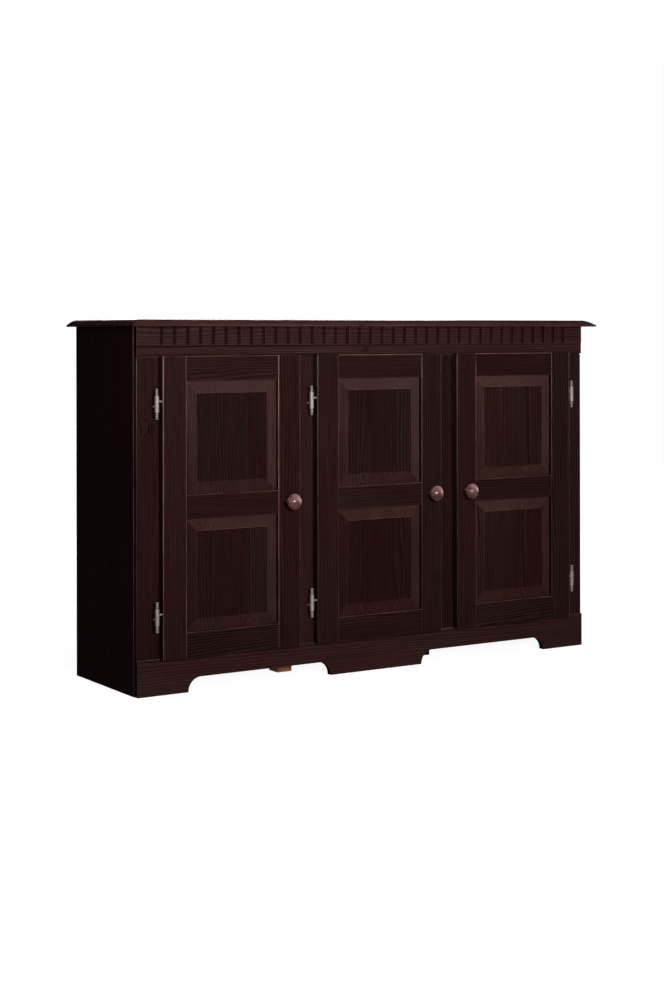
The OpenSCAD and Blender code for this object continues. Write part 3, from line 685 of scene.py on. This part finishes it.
# %% The back and the bare foot
# Early wood, late wood and roughness
PLANED = {"back_board": ((0.060, 0.027, 0.019, 1), (0.025, 0.011, 0.008, 1), 0.60),
          "bare_pine": ((0.76, 0.30, 0.15, 1), (0.50, 0.17, 0.075, 1), 0.62)}


def planed_pine(name, node, early, late_wood, roughness):
    """A planed board that drinks the light. Its grain runs upright."""
    material, tree, shader = new_material(name)
    seen = tree.add("ShaderNodeTexCoord").outputs
    late, fibre, tone, _ = figured(tree, seen, "upright", middle_of(node), seed_of(node), ONE_STAVE)
    colour = tree.blend(tree.times(late, 0.85), early, late_wood)
    shade = tree.times(tree.between(tone, 0.2, 0.8, 0.82, 1.15), tree.between(fibre, 0.2, 0.8, 0.78, 1.2))
    colour = tree.blend(1.0, colour, tree.join(shade, shade, shade), "MULTIPLY")
    tree.give(shader, Base_Color=colour, Roughness=roughness, Specular_IOR_Level=0.25)
    tree.emboss(shader, fibre, 0.35, 0.3 * MM)
    return material


planed = [n for n in sorted(nodes) if slots[n] in PLANED and n != FOOT_IN_SHADE]
for node in planed:
    dress(node, planed_pine(node + "_wood", node, *PLANED[slots[node]]))
print("planed boards:", ", ".join(planed))

# %% [markdown]
# Moulded and zinc plated fittings
#
# The cases of the magnetic catches are moulded in brown, with the fine spark-eroded grain that hides
# scratches. Shelf pins and strike plates are steel with a thin coat of zinc, which is pale, a little
# blue, and cloudy where the bath ran unevenly.

# %% Plastic and zinc
BROWN, BROWN_DARK = (0.052, 0.026, 0.019, 1), (0.038, 0.019, 0.014, 1)
PALE_ZINC, GREY_ZINC = (0.56, 0.58, 0.61, 1), (0.47, 0.47, 0.47, 1)


def catch_plastic():
    """Brown moulded plastic with a fine grain."""
    material, tree, shader = new_material("catch_plastic")
    place = tree.add("ShaderNodeTexCoord").outputs["Object"]
    grain = tree.noise(place, 3200.0, 2.0)
    cloud = tree.noise(place, 90.0, 2.0)
    tree.give(shader, Base_Color=tree.blend(tree.between(cloud, 0.35, 0.65), BROWN, BROWN_DARK),
              Roughness=tree.between(grain, 0.3, 0.7, 0.42, 0.58))
    tree.emboss(shader, grain, 0.3, 0.1 * MM)
    return material


def zinc_plate():
    """Steel under a thin, cloudy coat of zinc."""
    material, tree, shader = new_material("zinc_plate")
    place = tree.add("ShaderNodeTexCoord").outputs["Object"]
    cloud = tree.noise(place, 220.0, 3.0, 0.6)
    tree.give(shader, Base_Color=tree.blend(tree.between(cloud, 0.35, 0.65), PALE_ZINC, GREY_ZINC),
              Metallic=1.0, Roughness=tree.between(cloud, 0.3, 0.7, 0.26, 0.40))
    return material


FITTINGS = {"catch_plastic": catch_plastic(), "plate_steel": zinc_plate()}
ZINC = FITTINGS["plate_steel"]
fittings = [n for n in sorted(nodes) if slots[n] in FITTINGS]
for node in fittings:
    dress(node, FITTINGS[slots[node]])
print("fittings:", len(fittings))

# %% [markdown]
# Eased edges
#
# No edge on a finished board is sharp, and a sharp edge in a render catches no light. The boards come
# as loose triangles, so a Weld modifier joins them first. A Bevel then rounds every corner that the
# model left square, and a few geometry nodes shade the rest smooth up to a given angle. Weighted
# normals come last: they let the large flat faces rule, and only the narrow rounds bend the light.
# The bevels of a panel slope so little that they would melt into it, so panels get a smaller angle.

# %% Weld, bevel and smooth
WELD = 0.02 * MM
EASE, EASE_FRIEZE, EASE_PLINTH, EASE_UPRIGHT = 0.8 * MM, 0.6 * MM, 1.2 * MM, 0.5 * MM
EASE_PANEL, EASE_FITTING = 0.3 * MM, 0.25 * MM
SQUARE, ROUND, ROUND_PANEL = 40, 32, 4


def smooth_by_angle(name, sharp):
    """A modifier tree that shades all faces smooth and keeps the edges above an angle crisp."""
    group = bpy.data.node_groups.new(name, "GeometryNodeTree")
    for way in ("INPUT", "OUTPUT"):
        group.interface.new_socket("Geometry", in_out=way, socket_type="NodeSocketGeometry")
    tree = Tree(group)
    given = tree.add("NodeGroupInput")
    faces = tree.add("GeometryNodeSetShadeSmooth", {"domain": "FACE"}, Geometry=given.outputs[0])
    angle = tree.add("GeometryNodeInputMeshEdgeAngle")
    crisp = tree.add("FunctionNodeCompare", {"operation": "GREATER_THAN"}, A=angle.outputs[0],
                     B=math.radians(sharp))
    edges = tree.add("GeometryNodeSetShadeSmooth", {"domain": "EDGE"}, Geometry=faces.outputs[0],
                     Selection=crisp.outputs[0], Shade_Smooth=False)
    tree.add("NodeGroupOutput", Geometry=edges.outputs[0])
    return group


SMOOTH, SMOOTH_PANEL = smooth_by_angle("smooth_rounds", ROUND), smooth_by_angle("smooth_panels", ROUND_PANEL)


def ease(piece, width=0, clamp=True, smooth=SMOOTH):
    """Smooths a piece. With a width, joins its loose triangles first and rounds its square edges."""
    if width:
        piece.modifiers.new("weld", "WELD").merge_threshold = WELD
        bevel = piece.modifiers.new("ease", "BEVEL")
        bevel.width, bevel.segments, bevel.use_clamp_overlap = width, 2, clamp
        bevel.limit_method, bevel.angle_limit = "ANGLE", math.radians(SQUARE)
    piece.modifiers.new("smooth", "NODES").node_group = smooth
    flat = piece.modifiers.new("keep_faces_flat", "WEIGHTED_NORMAL")
    flat.keep_sharp, flat.weight = True, 100


# The long edges of a door stile and the arches of the plinth have narrow facets, which would hold a
# clamped bevel back to almost nothing
eased = 0
for node in sorted(nodes):
    piece = nodes[node]
    if slots[node] == "panel_pine":
        ease(piece, EASE_PANEL, smooth=SMOOTH_PANEL)
    elif slots[node] in FITTINGS:
        ease(piece, EASE_FITTING)
    elif node == "frieze":
        ease(piece, EASE_FRIEZE)
    elif node == "plinth":
        ease(piece, EASE_PLINTH, clamp=False)
    elif node.endswith("_stile"):
        ease(piece, EASE, clamp=False)
    elif node.startswith("stile_"):
        ease(piece, EASE_UPRIGHT)
    elif slots[node] in ("stained_pine", "back_board", "bare_pine"):
        ease(piece, EASE)
    else:
        continue
    eased += 1
print("eased pieces:", eased)

# %% [markdown]
# Stub tenons
#
# The uprights of the face frame end a hair below the frieze, and a stub tenon goes up into it. Only a
# dark line of it shows. Glue alone would hold a butt joint badly there, as one side of it is end grain.

# %% Tenons above the face frame
TENON_BACK, TENON_IN, TENON_BITE, TENON_EASE = 3.0 * MM, 1.0 * MM, 1.5 * MM, 0.3 * MM


def add_block(shape, low, high):
    """Adds a block between its lowest and its highest corner."""
    corners = bmesh.ops.create_cube(shape, size=1)["verts"]
    bmesh.ops.scale(shape, vec=high - low, verts=corners)
    bmesh.ops.translate(shape, vec=(low + high) / 2, verts=corners)


shape = bmesh.new()
uprights = [n for n in sorted(nodes) if n.startswith(("stile_", "mullion_"))]
for node in uprights:
    low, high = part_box(node)
    add_block(shape, Vector((low.x + TENON_IN / 2, low.y + TENON_BACK, high.z - TENON_BITE)),
              Vector((high.x - TENON_IN / 2, high.y - TENON_IN, frieze_low.z + TENON_BITE)))
bmesh.ops.bevel(shape, geom=shape.edges[:], offset=TENON_EASE, segments=2, affect="EDGES", material=-1)
tenons = mesh_object("stub_tenons", shape)
tenons.data.materials.append(nodes["stile_right"].data.materials[0])
ease(tenons)
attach(tenons, "carcass")
print("tenons:", len(uprights))

# %% [markdown]
# Turning on the lathe
#
# Knobs and hinges are turned: a tool draws a profile, and the spinning blank makes it round. The mesh
# is made the same way. The profile is a list of points, each a distance from the axis and a height
# along it, and a spin carries it round.

# %% A lathe
def arc(centre_r, centre_h, radius, start, end, steps):
    """Points on a round part of a profile. The angle is 0 straight out from the axis, in degrees."""
    angles = [math.radians(start + (end - start) * k / steps) for k in range(steps + 1)]
    return [(centre_r + radius * math.cos(a), centre_h + radius * math.sin(a)) for a in angles]


def turn(shape, profile, foot, direction, segments=48):
    """Spins a profile, in millimetres, round the line that leaves foot in a direction."""
    along = Vector(direction).normalized()
    out = along.orthogonal().normalized()
    points = [shape.verts.new(foot + (out * r + along * h) * MM) for r, h in profile]
    edges = [shape.edges.new(pair) for pair in zip(points, points[1:])]
    bmesh.ops.spin(shape, geom=points + edges, cent=foot, axis=along, angle=math.tau, steps=segments,
                   use_merge=True)


def add_piece(name, shape, body, slot, material, *replaced):
    """Finishes a mesh: joins doubled points, turns the faces outward, and hangs it on its body."""
    bmesh.ops.remove_doubles(shape, verts=shape.verts, dist=1e-6)
    bmesh.ops.recalc_face_normals(shape, faces=shape.faces)
    piece = mesh_object(name, shape)
    piece.data.materials.append(material)
    ease(piece)
    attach(piece, body)
    if replaced:
        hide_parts(*replaced)


print("lathe ready")

# %% [markdown]
# Turned knobs
#
# The knob is a small mushroom of hard wood: a foot that sits on the stile, a hollow neck that fingers
# close on, a full round rim, and a low dome with a ring cut into it. It is lighter than the doors,
# because dense wood takes little stain, and its lacquer is glossier. Painted shade darkens it towards
# the neck and on the side that looks down and to the left, and a painted highlight makes the side that
# looks up and to the right pale.

# %% Turn the knobs
KNOB_LENGTH = 36 * MM
KNOB_WOOD = (0.205, 0.098, 0.094, 1)
KNOB_STREAK = (0.090, 0.028, 0.027, 1)
KNOB_HIGHLIGHT = (0.600, 0.360, 0.345, 1)
KNOB_FOOT, KNOB_RIM_R, KNOB_RIM_H, KNOB_RIM = 11.0, 14.0, 22.0, 5.0
DOME, DOME_H, TANGENT = 20.39, 15.61, 24.5
KNOB_PROFILE = (
    [(0, -12), (3.4, -12), (4, -11.2), (4, 0), (10.5, 0), (KNOB_FOOT, 0.5), (KNOB_FOOT, 3.94)]
    + arc(14.5, 10, 7, -124, -266, 14) + arc(KNOB_RIM_R, KNOB_RIM_H, KNOB_RIM, -88, TANGENT, 16)
    + arc(0, DOME_H, DOME, 27, 32, 3) + arc(0, DOME_H, DOME - 0.6, 33.6, 35.2, 2)
    + arc(0, DOME_H, DOME, 36.8, 90, 18))


def knob_lacquer():
    """Turned hard wood under gloss lacquer."""
    material, tree, shader = new_material("knob_lacquer")
    seen = tree.add("ShaderNodeTexCoord").outputs
    _, y, _ = tree.split(seen["Object"])
    fibre = tree.noise(tree.stretch(seen["Object"], (900, 60, 900)), 1.0, 3.0, 0.6)
    cloud = tree.noise(tree.stretch(seen["Object"], (120, 60, 120)), 1.0, 2.0)
    mix = tree.math("MULTIPLY_ADD", cloud, 0.5, tree.times(fibre, 0.5))
    colour = tree.blend(tree.between(mix, 0.43, 0.60), KNOB_WOOD, KNOB_STREAK)

    # Painted highlight on the side that looks up and to the right, painted shade on the side that looks down
    # and left
    nx, _, nz = tree.split(seen["Normal"])
    toward_light = tree.math("MULTIPLY_ADD", nz, 0.6, tree.times(nx, 0.6))
    rubbed_and_lit = tree.times(tree.between(toward_light, -0.1, 0.75), tree.between(cloud, 0.35, 0.6, 1.0, 0.6))
    colour = tree.blend(rubbed_and_lit, colour, KNOB_HIGHLIGHT)
    colour = tree.blend(tree.between(toward_light, -0.80, -0.30, 0.7, 0.0), colour, EARLY_RED)
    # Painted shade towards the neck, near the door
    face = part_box("door_left_lock_stile")[0].y
    near_door = tree.between(y, face - 20 * MM, face - 2 * MM, 0.0, 0.75)
    tree.give(shader, Base_Color=tree.blend(near_door, colour, EARLY_RED), Specular_IOR_Level=0.5,
              Roughness=tree.between(fibre, 0.3, 0.7, 0.14, 0.24))
    tree.emboss(shader, fibre, 0.2, 0.2 * MM)
    return material


KNOB_LACQUER = knob_lacquer()
DOORS = ("left", "middle", "right")
for door in DOORS:
    node = f"door_{door}_knob"
    low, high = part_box(node)
    foot = Vector(((low.x + high.x) / 2, low.y + KNOB_LENGTH, (low.z + high.z) / 2))
    shape = bmesh.new()
    turn(shape, KNOB_PROFILE, foot, (0, -1, 0))
    add_piece(f"turned_knob_{door}", shape, f"door_{door}", "knob_wood", KNOB_LACQUER, node)
print("knobs:", len(DOORS), "- profile of", len(KNOB_PROFILE), "points")

# %% [markdown]
# Lift-off hinges
#
# Each hinge is two short barrels on one upright pin. The lower barrel is screwed into the face frame
# and carries the pin, the upper one is screwed into the edge of the door and drops over it. Both end
# in the same finial: a deep groove, a collar, a ball and a button. The pins have a real thread, cut
# here by a spin that also moves along its axis. All of it is nickel plated, and the plating has gone
# a little dull, warm and uneven.

# %% Hinges
HALF_HINGE, BARREL_RADIUS = 35 * MM, 5 * MM
FINIAL = (
    [(5, 19.0), (4.8, 19.2), (2.0, 19.3), (1.8, 19.6), (1.8, 21.8), (2.2, 22.0)]
    + arc(3.7, 23.1, 1.1, -90, 90, 8) + [(2.0, 24.3), (1.8, 24.6)]
    + arc(0, 27.7, 3.5, -58, 58, 10) + [(1.6, 31.0), (1.6, 31.6), (3.0, 31.7)]
    + arc(3.0, 32.8, 1.1, -90, 20, 5) + arc(0, 30.0, 5.0, 42, 90, 6))
BORED_HALF = [(0, 16.3), (3.05, 16.3), (3.05, 0.5), (3.4, 0.15), (4.7, 0.15), (5, 0.5)] + FINIAL
PINNED_HALF = [(0, -16), (2.4, -16), (3, -15.2), (3, 0.15), (4.7, 0.15), (5, 0.5)] + FINIAL
THREAD_ROOT, THREAD_CREST, THREAD_PITCH, THREAD_STEPS = 2.0, 2.5, 1.25, 20
PIN_RISE, FRAME_PIN, DOOR_PIN = 6 * MM, 25.0, 26.0
NICKEL_DULL, NICKEL_WARM = (0.42, 0.365, 0.345, 1), (0.40, 0.31, 0.255, 1)


def threaded_pin(shape, foot, direction, length):
    """A screw thread with a plain core, from foot in a direction. The length is in millimetres."""
    along = Vector(direction).normalized()
    out = along.orthogonal().normalized()
    ridge = ((THREAD_ROOT, 0.0), (THREAD_CREST, 0.42), (THREAD_CREST, 0.58), (THREAD_ROOT, 1.0))
    points = [shape.verts.new(foot + (out * r + along * h * THREAD_PITCH) * MM) for r, h in ridge]
    edges = [shape.edges.new(pair) for pair in zip(points, points[1:])]
    turns = int(length / THREAD_PITCH) - 1
    bmesh.ops.spin(shape, geom=points + edges, cent=foot, axis=along, angle=math.tau * turns,
                   steps=THREAD_STEPS * turns, dvec=along * THREAD_PITCH * MM / THREAD_STEPS)
    core = THREAD_ROOT + 0.05
    turn(shape, [(0, 0), (core, 0), (core, length - 1), (core - 1, length), (0, length)], foot, direction, 20)


def nickel_plate():
    """Nickel that has gone dull with age, warmer where it has worn thin."""
    material, tree, shader = new_material("nickel_plate")
    place = tree.add("ShaderNodeTexCoord").outputs["Object"]
    cloud = tree.noise(place, 260.0, 3.0, 0.6)
    scratch = tree.noise(tree.stretch(place, (600, 600, 4000)), 1.0, 2.0)
    dull = tree.between(cloud, 0.3, 0.7, 0.38, 0.46)
    tree.give(shader, Base_Color=tree.blend(tree.between(cloud, 0.45, 0.75), NICKEL_DULL, NICKEL_WARM),
              Metallic=0.40, Roughness=tree.math("MULTIPLY_ADD", scratch, 0.16, dull))
    tree.emboss(shader, scratch, 0.15, 0.1 * MM)
    return material


NICKEL = nickel_plate()
UP, BACK = Vector((0, 0, 1)), Vector((0, 1, 0))
for door in DOORS:
    to_door = Vector((-1 if door == "right" else 1, 0, 0))
    for place in ("upper", "lower"):
        frame_node, door_node = f"frame_hinge_{door}_{place}", f"door_{door}_{place}_hinge"
        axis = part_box(frame_node)[0] + Vector((BARREL_RADIUS, BARREL_RADIUS, HALF_HINGE))
        shape = bmesh.new()
        turn(shape, PINNED_HALF, axis, -UP)
        threaded_pin(shape, axis - UP * PIN_RISE, BACK, FRAME_PIN)
        add_piece(f"hinge_seat_{door}_{place}", shape, "carcass", "hinge_nickel", NICKEL, frame_node)
        shape = bmesh.new()
        turn(shape, BORED_HALF, axis, UP)
        threaded_pin(shape, axis + UP * PIN_RISE, to_door, DOOR_PIN)
        add_piece(f"hinge_cap_{door}_{place}", shape, f"door_{door}", "hinge_nickel", NICKEL, door_node)
    print(f"{door} door turns at", [round(v, 4) for v in axis[:2]])

# %% [markdown]
# Screws, magnet leaves and nails
#
# Each catch is held by two screws in its slots, so that it can be pushed to where the door meets it.
# Between its jaws two thin steel leaves carry the pull of the magnet to the plate on the door, which
# is let in with two flat screws. Small nails hold the back to the sides, the partitions and the
# bottom board. A screw head is turned like a knob, and its cross is pressed into the top.

# %% Small fasteners
SCREW_HEAD = [(0, 0), (1.72, 0), (1.72, 0.35), (1.5, 0.75), (1.2, 0.95)]
FLAT_HEAD = [(0, -1.0), (1.4, -1.0), (2.9, 0.06), (2.9, 0.12), (2.7, 0.18)]
NAIL_HEAD = [(0, -2), (0.8, -2), (0.8, 0), (2.3, 0), (2.4, 0.2), (1.9, 0.45), (0, 0.55)]
CROSS = ((1, 3), (1, 1), (3, 1), (3, -1), (1, -1), (1, -3),
         (-1, -3), (-1, -1), (-3, -1), (-3, 1), (-1, 1), (-1, 3))


def screw_head(shape, foot, direction, profile, cross):
    """A turned head whose open rim is closed by a pressed cross. cross is half the width of an arm, in mm."""
    along = Vector(direction).normalized()
    side = along.orthogonal().normalized()
    up = along.cross(side)
    turn(shape, profile, foot, direction, 24)
    rim_radius, rim_height = profile[-1]

    def loop(points, height):
        corners = [shape.verts.new(foot + (side * a + up * b + along * height) * MM) for a, b in points]
        return [shape.edges.new((corners[k - 1], corners[k])) for k in range(len(corners))]

    rim = loop(arc(0, 0, rim_radius, 0, 345, 23), rim_height)
    mouth = loop([(cross * a, cross * b) for a, b in CROSS], rim_height)
    bottom = loop([(cross * a * 0.7, cross * b * 0.7) for a, b in CROSS], rim_height - 0.7)
    bmesh.ops.bridge_loops(shape, edges=rim + mouth)
    bmesh.ops.bridge_loops(shape, edges=mouth + bottom)
    bmesh.ops.triangle_fill(shape, edges=bottom, use_beauty=True)


# Where the screws, leaves and nails sit on the pieces that they hold
SCREW_ASIDE, SCREW_BACK, SLOT_FLOOR = 18 * MM, 12 * MM, 7 * MM
LEAF_HALF, LEAF_HALF_THICK, LEAF_DEEP = 12 * MM, 0.5 * MM, 6 * MM
LEAF_PROUD, LEAF_INSET, LEAF_EASE = 0.15 * MM, 2.5 * MM, 0.1 * MM
PLATE_SCREW_SHARE = 0.36
NAIL_STEP, NAIL_EDGE, NAIL_TOP, NAIL_APART, HALF_BOTTOM = 105 * MM, 5 * MM, 8 * MM, 20 * MM, 9 * MM
catch_low, catch_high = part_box("door_catches")
plates = [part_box(f"door_{door}_strike_plate") for door in DOORS]
centres = [(low.x + high.x) / 2 for low, high in plates]

shape = bmesh.new()
for x in centres:
    for side in (-1, 1):
        seat = Vector((x + side * SCREW_ASIDE, catch_low.y + SCREW_BACK, catch_low.z + SLOT_FLOOR))
        screw_head(shape, seat, UP, SCREW_HEAD, 0.3)
add_piece("catch_screws", shape, "carcass", "plate_steel", ZINC)

shape = bmesh.new()
leaves = [(x, z) for x in centres for z in (catch_low.z + LEAF_INSET, catch_high.z - LEAF_INSET)]
for x, z in leaves:
    front = catch_low.y - LEAF_PROUD
    add_block(shape, Vector((x - LEAF_HALF, front, z - LEAF_HALF_THICK)),
              Vector((x + LEAF_HALF, front + LEAF_DEEP, z + LEAF_HALF_THICK)))
bmesh.ops.bevel(shape, geom=shape.edges[:], offset=LEAF_EASE, segments=2, affect="EDGES", material=-1)
add_piece("magnet_leaves", shape, "carcass", "plate_steel", ZINC)

for door, (low, high), x in zip(DOORS, plates, centres):
    shape = bmesh.new()
    for side in (-1, 1):
        seat = Vector((x + side * (high.x - low.x) * PLATE_SCREW_SHARE, high.y, (low.z + high.z) / 2))
        screw_head(shape, seat, BACK, FLAT_HEAD, 0.45)
    add_piece(f"plate_screws_{door}", shape, f"door_{door}", "plate_steel", ZINC)

shape = bmesh.new()
back_low, back_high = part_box("back_panel")
bottom_line, top_line = back_low.z + HALF_BOTTOM, back_high.z - NAIL_TOP
columns = [back_low.x + NAIL_EDGE, back_high.x - NAIL_EDGE]
columns += [middle_of(node).x for node in ("partition_left", "partition_right")]
rows = int((back_high.z - bottom_line) / NAIL_STEP)
nails = [(x, bottom_line + k * (top_line - bottom_line) / rows) for x in columns for k in range(rows + 1)]
spans = int((columns[1] - columns[0]) / NAIL_STEP)
along_bottom = [columns[0] + k * (columns[1] - columns[0]) / spans for k in range(1, spans)]
nails += [(x, bottom_line) for x in along_bottom if min(abs(x - c) for c in columns) > NAIL_APART]
for x, z in nails:
    turn(shape, NAIL_HEAD, Vector((x, back_high.y, z)), BACK, 12)
add_piece("back_nails", shape, "carcass", "plate_steel", ZINC)
print("screws:", 4 * len(DOORS), "- leaves:", len(leaves), "- nails:", len(nails))
